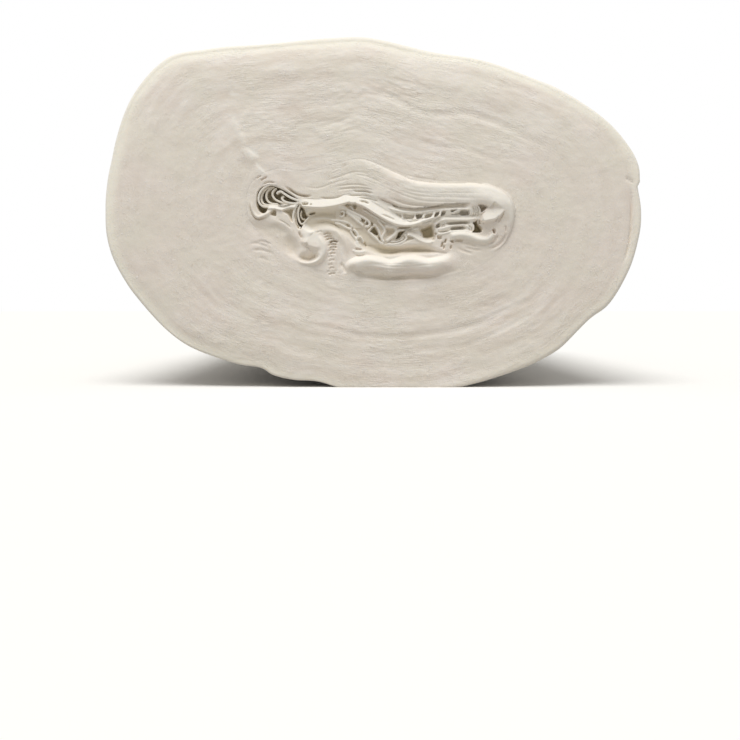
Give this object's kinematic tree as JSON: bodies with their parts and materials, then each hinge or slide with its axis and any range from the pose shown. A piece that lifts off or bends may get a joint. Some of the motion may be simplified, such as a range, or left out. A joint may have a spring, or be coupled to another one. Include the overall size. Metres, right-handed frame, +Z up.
{
  "type": "toilet paper roll",
  "caption": "Coreless toilet paper roll pressed into an oval, with spiral turns and a crumpled, gapped middle on its cut ends, lying on its broad side.",
  "frame": {"origin": "middle of the underside, on the surface that the roll lies on", "axes": "+Z up, +Y along the winding axis away from the end that the picture shows, +X to the right across the broad oval"},
  "size_m": [0.1095, 0.1394, 0.0719],
  "materials": {
    "tissue": "soft matt uncoated tissue"
  },
  "bodies": {
    "root": {"paper_roll": "tissue"}
  },
  "joints": []
}
